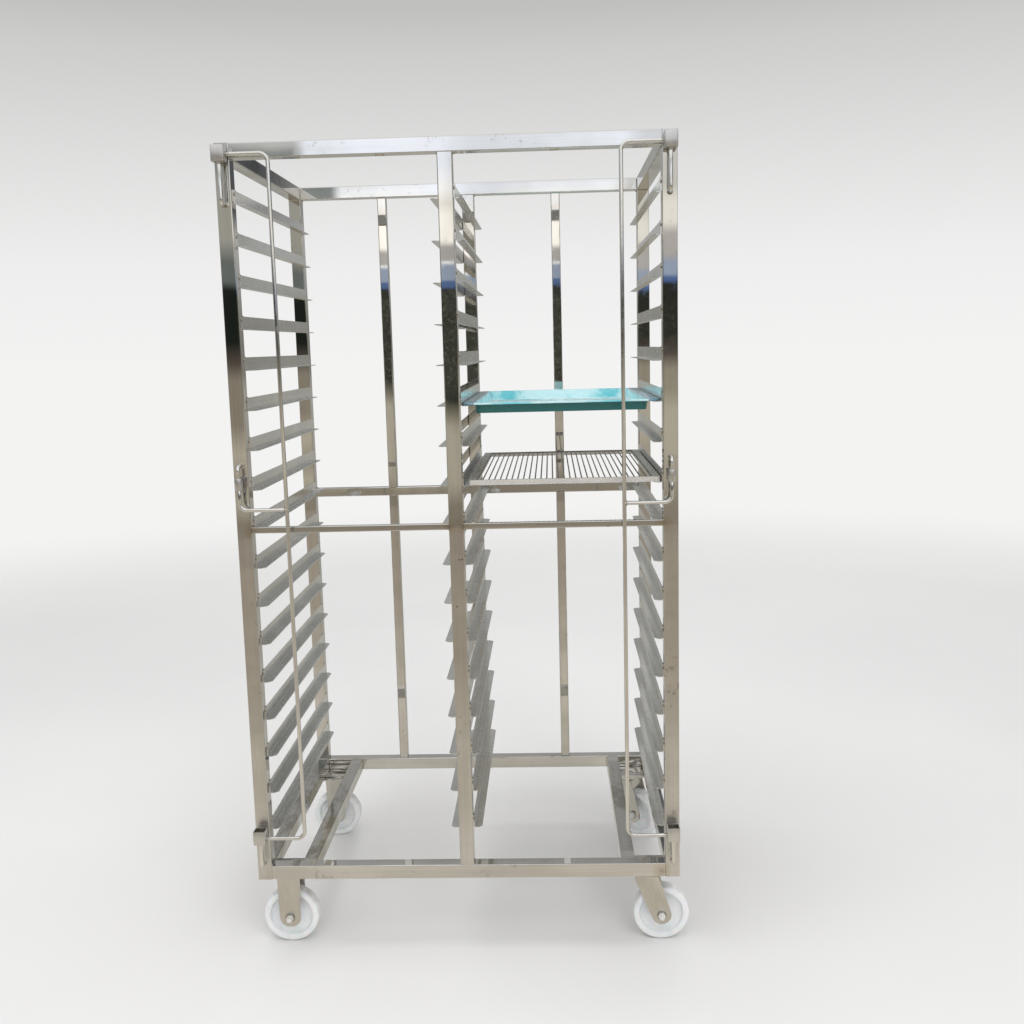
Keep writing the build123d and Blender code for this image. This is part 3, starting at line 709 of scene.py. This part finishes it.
# Tacks that hold each runner's flange to the posts, along its top edge and down its end
runnerLook = {
    "levels": 17, "topDrop": 88.2, "low": 132.0, "front": 20.0, "frontTack": 25.2, "backTack": 628.6
}
tackLook = {"proud": 0.6, "frontLength": 0.95, "backLength": 0.7, "endDrop": 7.0}
tackRows = (
    (runnerLook["frontTack"], tackLook["frontLength"]), (runnerLook["backTack"], tackLook["backLength"])
)
pitch = (tubes["height"] - runnerLook["topDrop"] - runnerLook["low"]) / (runnerLook["levels"] - 1)
banks = {
    "left_outer": (-columnFace, 1), "left_inner": (-halfTube, -1), "right_inner": (halfTube, 1),
    "right_outer": (columnFace, -1)
}
for bank, (face, facing) in banks.items():
    beads = []
    for level in range(runnerLook["levels"]):
        top = tubes["height"] - runnerLook["topDrop"] - pitch * level
        x = face + facing * tackLook["proud"]
        for y, length in tackRows:
            shape = turns["y"] @ Matrix.Diagonal((length, 1, 1, 1))
            beads.append(placedCopy(tackBead, Matrix.Translation(at(x, y, top + 0.1)) @ shape))
            if y == runnerLook["frontTack"]:
                endPlace = at(x, runnerLook["front"] - 0.1, top - tackLook["endDrop"])
                beads.append(placedCopy(tackBead, Matrix.Translation(endPlace) @ turns["z"]))
    words = bank.split("_")
    joined(beads, words[0] + words[1].capitalize() + "Tacks", "frame")
print("runners tacked")

# Seams where the tubes of the frame meet
seams = []
inside = tubes["size"]
seamLook = {"midLength": 10.5, "backLength": 18.0, "columnLength": 19.0, "proud": 0.6, "railDrop": 0.9}
backLevels = (tubes["backHigh"], tubes["backHigh"] - tubes["backBar"])


def seam(x, y, z, axis, length=beadLooks["seam"]["length"]):
    stretch = Matrix.Diagonal((length / beadLooks["seam"]["length"], 1, 1, 1))
    seams.append(placedCopy(seamBead, Matrix.Translation(at(x, y, z)) @ turns[axis] @ stretch))


for y, inner in ((halfTube, inside), (tubes["depth"] - halfTube, tubes["depth"] - inside)):
    for sx in (-1, 1):
        for z, mid in ((inside, halfTube), (tubes["height"] - inside, tubes["height"] - halfTube)):
            seam(sx * columnFace, y, z, "y")
            seam(sx * halfTube, y, z, "y")
            seam(sx * columnFace, inner, mid, "z")
            seam(sx * hingeX, inner, z, "x")
        for x in (tubes["innerRail"] - halfTube, tubes["innerRail"] + halfTube):
            seam(sx * x, inner, halfTube, "z")
        seam(sx * tubes["innerRail"], inner, inside - seamLook["railDrop"], "x")
for x in (-columnFace, -halfTube, halfTube, columnFace):
    for z in (tubes["midHigh"], tubes["midHigh"] - tubes["midSize"]):
        seam(x, tubes["midSize"] / 2 + seamLook["proud"], z, "y", seamLook["midLength"])
    for z in backLevels:
        seam(x, tubes["depth"] - tubes["backBar"] / 2 - 0.5, z, "y", seamLook["backLength"])
for sx in (-1, 1):
    for z in (inside, backLevels[1], backLevels[0], tubes["height"] - inside):
        seam(sx * columnMiddle, tubes["depth"] - tubes["backBar"], z, "x", seamLook["columnLength"])
joined(seams, "frameSeams", "frame")

# Ring beads at the roots of the hinge pins and on the gate rods
gateLook = {
    "standoff": 19.5, "topArm": 1500.0, "midArm": 804.0, "bottomArm": 102.0, "sleeve": 26.0,
    "reach": 95.0, "pinRoots": (1407.0, 893.0, 38.5), "barrelLow": 845.5, "bite": 4.2
}
for side, sx in (("left", -1), ("right", 1)):
    outFront = Matrix.Rotation(math.pi / 2, 4, "X")
    rings = [
        placedCopy(ringBead, Matrix.Translation(at(sx * hingeX, -0.2, z)) @ outFront)
        for z in gateLook["pinRoots"]
    ]
    joined(rings, side + "PinRings", "frame")
    sleeveX = sx * (hingeX - gateLook["sleeve"] / 2)
    barX = sx * (hingeX - gateLook["reach"] + gateLook["bite"])
    places = [(sleeveX, gateLook["topArm"]), (sleeveX, gateLook["bottomArm"]), (barX, gateLook["midArm"])]
    rings = [
        placedCopy(ringBead, Matrix.Translation(at(x, -gateLook["standoff"], z)) @ turns["z"])
        for x, z in places
    ]
    barrelPlace = at(sx * hingeX, -gateLook["standoff"], gateLook["barrelLow"])
    rings.append(placedCopy(ringBead, Matrix.Translation(barrelPlace)))
    joined(rings, side + "GateRings", side + "_gate")
for master in (tackBead, seamBead, ringBead):
    bpy.data.objects.remove(master)
print("seams and rings laid")

# Studio: floor that fades into a pale backdrop, soft lamps, and cards that only reflections see
studio = {
    "floor": (0.80, 0.797, 0.79, 1), "floorWorn": (0.775, 0.77, 0.765, 1), "fadeFrom": 2.2, "fadeTo": 6.5,
    "air": (0.69, 0.69, 0.695, 1)
}
clearSelection()
bpy.ops.mesh.primitive_plane_add(size=40, location=(0, 0, 0))
floor = bpy.context.object
floor.name = "floor"
floorPaint, floorShader, floorPlace = newMaterial("floorPaint", {"Roughness": 0.9, "Specular IOR Level": 0.1})
worn = floorPlace.noise(0.8, 3.0, 0.5).window(0.3, 0.7)
feed(floorShader, "Base Color", worn.blend(studio["floorWorn"], studio["floor"]))
feed(floorShader, "Roughness", floorPlace.noise(3.0, 3.0, 0.5) * 0.15 + 0.8)
far = floorPlace.reach().window(studio["fadeFrom"], studio["fadeTo"])
clear = floorPlace.add("ShaderNodeBsdfTransparent")
painted = Flow(floorPaint.node_tree, floorShader.outputs[0])
fading = far.add("ShaderNodeMixShader", None, {0: far, 1: painted, 2: clear})
floorOutput = floorPaint.node_tree.nodes["Material Output"]
floorPaint.node_tree.links.new(fading.socket, floorOutput.inputs["Surface"])
floor.data.materials.append(floorPaint)

world = bpy.data.worlds.new("studioAir")
bpy.context.scene.world = world
world.use_nodes = True
air = Flow(world.node_tree)
rise = air.add("ShaderNodeTexCoord").part(2)
rise = rise.add("ShaderNodeMapRange", None, {"Value": rise, "From Min": -0.1, "From Max": 0.35})
backdropStops = [
    (0.20, (0.90, 0.895, 0.89, 1)), (0.38, (0.86, 0.855, 0.855, 1)), (0.54, (0.76, 0.76, 0.755, 1)),
    (0.68, (0.665, 0.665, 0.66, 1)), (0.76, (0.61, 0.61, 0.60, 1)), (0.83, (0.53, 0.53, 0.515, 1)),
    (1.0, (0.46, 0.46, 0.45, 1))
]
aboveStops = [
    (0.30, (0.46, 0.46, 0.45, 1)), (0.42, (0.22, 0.22, 0.21, 1)), (0.58, (0.26, 0.26, 0.26, 1)),
    (0.78, (0.85, 0.85, 0.86, 1)), (1.0, (1.0, 1.0, 1.0, 1))
]
skyStops = [(0.28, (0.60, 0.60, 0.60, 1)), (0.36, (1.0, 1.0, 1.0, 1))]
upwards = rise.add("ShaderNodeTexCoord").part(2)
towards = 1 - rise.add("ShaderNodeTexCoord").part(1).window(-0.15, 0.05)
above = towards.blend(upwards.ramp(aboveStops), upwards.ramp(skyStops))
backdrop = rise.window(0.90, 1.0).blend(rise.ramp(backdropStops), above)
seen = air.add("ShaderNodeLightPath", out="Is Camera Ray")
for ray in ("Is Glossy Ray", "Is Transmission Ray"):
    seen = seen + air.add("ShaderNodeLightPath", out=ray)
worldColour = world.node_tree.nodes["Background"].inputs["Color"]
world.node_tree.links.new(seen.blend(studio["air"], backdrop).socket, worldColour)


def card(piece, name, makeColour, strength):  # shows in polished metal, lights nothing
    piece.name = name
    material, shader, place = newMaterial(
        name + "Glow",
        {"Base Color": (0, 0, 0, 1), "Specular IOR Level": 0.0, "Emission Strength": strength}
    )
    feed(shader, "Emission Color", makeColour(place))
    feed(shader, "Roughness", place.noise(2.0) * 0.1 + 0.9)
    piece.data.materials.append(material)
    piece.visible_camera = piece.visible_diffuse = piece.visible_shadow = False
    piece.visible_transmission = piece.visible_volume_scatter = False


# Surroundings by height in metres, for the polished tubes to show: a yard in front, a dim hall behind
yardLook = {
    "radius": 6.0, "low": -0.1, "high": 3.3, "strength": 1.7, "centreX": -0.48, "centreBand": (0.22, 0.40),
    "centreLift": 0.07, "leftEdge": (-1.52, -1.42), "rightEdge": (0.68, 0.88), "hallEdge": (-2.6, -1.2)
}
surroundings = {
    "soil": (0.33, 0.29, 0.23), "paving": (0.58, 0.53, 0.43), "step": (0.40, 0.36, 0.28),
    "kerb": (0.22, 0.20, 0.15), "hedge": (0.035, 0.037, 0.029), "thicket": (0.016, 0.020, 0.016),
    "bark": (0.115, 0.095, 0.08), "awning": (0.11, 0.19, 0.42), "paleAwning": (0.42, 0.50, 0.66),
    "gutter": (1.45, 1.45, 1.45), "wall": (0.60, 0.57, 0.55), "shadedWall": (0.46, 0.45, 0.40),
    "paleWall": (1.10, 1.07, 0.97), "sunlitWall": (1.58, 1.52, 1.42), "pane": (0.18, 0.20, 0.19),
    "eaves": (0.31, 0.335, 0.335), "haze": (0.82, 0.80, 0.75), "cloud": (1.25, 1.20, 1.12),
    "sky": (1.24, 1.30, 1.44), "duskySky": (0.68, 0.68, 0.68), "paleSky": (0.94, 0.98, 1.06),
    "hallFloor": (0.44, 0.43, 0.39), "hallDark": (0.25, 0.245, 0.22), "hallWall": (0.40, 0.40, 0.39),
    "hallPale": (0.50, 0.50, 0.49)
}
stains = {
    "leaf": (0.15, 0.155, 0.12, 1), "rightLeaf": (0.12, 0.12, 0.09, 1), "yard": (0.10, 0.10, 0.08, 1),
    "hall": (0.14, 0.14, 0.13, 1), "lintel": (0.06, 0.063, 0.068, 1), "ground": (0.20, 0.19, 0.14, 1)
}
yardBands = [
    (0.15, "soil"), (0.30, "paving"), (0.78, "paving"), (0.90, "kerb"), (0.98, "hedge"), (1.76, "hedge"),
    (1.775, "awning"), (1.815, "awning"), (1.825, "paleAwning"), (1.93, "paleAwning"), (1.937, "gutter"),
    (1.95, "gutter"), (1.957, "wall"), (2.05, "wall"), (2.09, "sunlitWall"), (2.26, "sunlitWall"),
    (2.34, "cloud"), (2.44, "gutter"), (2.60, "sky")
]
leftBands = [
    (0.12, "soil"), (0.26, "paving"), (0.40, "step"), (0.60, "paving"), (0.80, "soil"), (1.11, "soil"),
    (1.22, "bark"), (1.36, "thicket"), (1.70, "thicket"), (1.76, "pane"), (1.89, "pane"),
    (2.03, "shadedWall"), (2.40, "shadedWall"), (2.50, "eaves"), (2.60, "eaves"), (2.66, "duskySky")
]
rightBands = [
    (0.12, "soil"), (0.26, "step"), (0.54, "paving"), (0.83, "paving"), (0.97, "step"), (1.11, "step"),
    (1.22, "bark"), (1.35, "hedge"), (1.70, "hedge"), (1.71, "awning"), (1.74, "awning"),
    (1.755, "paleAwning"), (1.84, "paleAwning"), (1.89, "wall"), (2.03, "wall"), (2.10, "paleWall"),
    (2.24, "paleWall"), (2.34, "haze"), (2.52, "haze"), (2.66, "paleSky")
]
hallBands = [
    (0.0, "hallFloor"), (1.0, "hallFloor"), (1.15, "hallDark"), (1.5, "hallDark"), (1.8, "hallWall"),
    (2.1, "hallPale"), (2.4, "hallWall")
]


def banded(height, bands):  # the card's colours at a height
    limits = {"Value": height, "From Min": yardLook["low"], "From Max": yardLook["high"]}
    stops = []
    for z, name in bands:
        share = (z - yardLook["low"]) / (yardLook["high"] - yardLook["low"])
        stops.append((share, tuple(value / yardLook["strength"] for value in surroundings[name]) + (1,)))
    return height.add("ShaderNodeMapRange", None, limits).ramp(stops)


def yardColour(place):
    rise = place.part(2)
    across = place.part(0)
    middle = across - yardLook["centreX"]
    middle = 1 - middle.calc("ABSOLUTE", middle, 0).window(*yardLook["centreBand"])
    wobble = place.stretched((1.6, 1.6, 0.6)).noise(1.0, 3.0, 0.6) - 0.5
    height = rise + wobble * ((1 - rise.window(1.2, 1.5)) * 0.8 + 0.02)
    height = height + middle * rise.window(1.4, 1.6) * yardLook["centreLift"]
    leaves = place.noise(46.0, 6.0, 0.85).window(0.52, 0.60) * rise.window(0.9, 1.1)
    leaves = leaves * (1 - rise.window(1.67, 1.70)) * 0.75
    yard = leaves.blend(banded(height, yardBands), stains["leaf"])
    patches = place.stretched((1.1, 1.1, 0.5)).noise(1.0, 4.0, 0.6).window(0.35, 0.7)
    yard = (patches * 0.2).blend(yard, stains["yard"])
    height = rise + wobble * 0.10
    yard = (1 - across.window(*yardLook["leftEdge"])).blend(yard, banded(height, leftBands))
    rightLeaves = leaves * (1 - rise.window(1.5, 1.6)) * 0.5
    right = rightLeaves.blend(banded(height, rightBands), stains["rightLeaf"])
    yard = across.window(*yardLook["rightEdge"]).blend(yard, right)
    hallMarks = place.noise(3.0, 4.0, 0.6).window(0.3, 0.7) * 0.25
    hall = hallMarks.blend(banded(height, hallBands), stains["hall"])
    hall = (across.window(0.6, 1.1) * rise.window(2.15, 2.35)).blend(hall, stains["lintel"])
    return place.part(1).window(*yardLook["hallEdge"]).blend(yard, hall)


clearSelection()
bpy.ops.mesh.primitive_cylinder_add(
    vertices=96, radius=yardLook["radius"], depth=3.4, end_fill_type="NOTHING", location=(0, 0, 1.6)
)
bpy.ops.object.transform_apply(location=True, rotation=True, scale=True)
bpy.ops.object.mode_set(mode="EDIT")
bpy.ops.mesh.select_all(action="SELECT")
bpy.ops.mesh.subdivide(number_cuts=1)
bpy.ops.object.mode_set(mode="OBJECT")
card(bpy.context.object, "yardCard", yardColour, yardLook["strength"])

groundLook = {"reach": 6.5, "back": (0.54, 0.53, 0.49, 1), "farBack": (0.42, 0.41, 0.37, 1), "high": 0.003}
groundStops = [
    (0.4, (0.72, 0.67, 0.58)), (1.0, (0.63, 0.58, 0.49)), (2.2, (0.50, 0.44, 0.36)),
    (6.5, (0.39, 0.345, 0.285))
]


def groundColour(place):
    depth = place.part(1)
    away = 0 - depth - 0.3
    limits = {"Value": away, "From Min": 0.0, "From Max": groundLook["reach"]}
    away = away.add("ShaderNodeMapRange", None, limits)
    front = away.ramp([(distance / groundLook["reach"], colour + (1,)) for distance, colour in groundStops])
    behind = depth.window(0.4, 4.5).blend(groundLook["back"], groundLook["farBack"])
    cracks = place.noise(5.0, 5.0, 0.6).window(0.3, 0.7) * 0.7
    cracks = cracks + place.noise(1.3, 2.0, 0.5).window(0.45, 0.62) * 0.8
    return (cracks * 0.18).blend(depth.window(-0.4, 0.2).blend(front, behind), stains["ground"])


clearSelection()
bpy.ops.mesh.primitive_plane_add(size=1, location=(0, 0, groundLook["high"]))
bpy.ops.transform.resize(value=(12, 12, 1), center_override=(0, 0, 0))
bpy.ops.object.transform_apply(location=True, rotation=True, scale=True)
card(bpy.context.object, "groundCard", groundColour, 1.0)

lamps = {
    "skyLamp": {"place": (-0.4, -0.6, 3.8), "aim": (0, 0, 0.6), "size": 3.0, "power": 60},
    "fillLamp": {"place": (1.4, -3.3, 3.7), "aim": (0, 0, 0.4), "size": 1.8, "power": 38},
    "backLamp": {"place": (0.4, 3.6, 3.2), "aim": (0, 0, 0.6), "size": 2.4, "power": 20},
}
for name, lamp in lamps.items():
    light = bpy.data.lights.new(name, "AREA")
    light.size = lamp["size"]
    light.energy = lamp["power"]
    lampObject = bpy.data.objects.new(name, light)
    bpy.context.collection.objects.link(lampObject)
    lampObject.visible_glossy = False  # wide lamps would wash out the polished faces
    lampObject.location = lamp["place"]
    aim = Vector(lamp["aim"]) - Vector(lamp["place"])
    lampObject.rotation_euler = aim.to_track_quat("-Z", "Y").to_euler()

cameraLook = {
    "place": (197.28, -2225.49, 1119.09), "turn": (81.527, 1.434, 1.926), "lens": 39.09, "sensor": 36
}
cameraData = bpy.data.cameras.new("camera")
cameraData.lens = cameraLook["lens"]
cameraData.sensor_width = cameraLook["sensor"]
camera = bpy.data.objects.new("camera", cameraData)
bpy.context.collection.objects.link(camera)
camera.location = at(*cameraLook["place"])
camera.rotation_euler = [math.radians(angle) for angle in cameraLook["turn"]]
bpy.context.scene.camera = camera
bpy.context.scene.view_settings.view_transform = "Standard"
print("studio set")
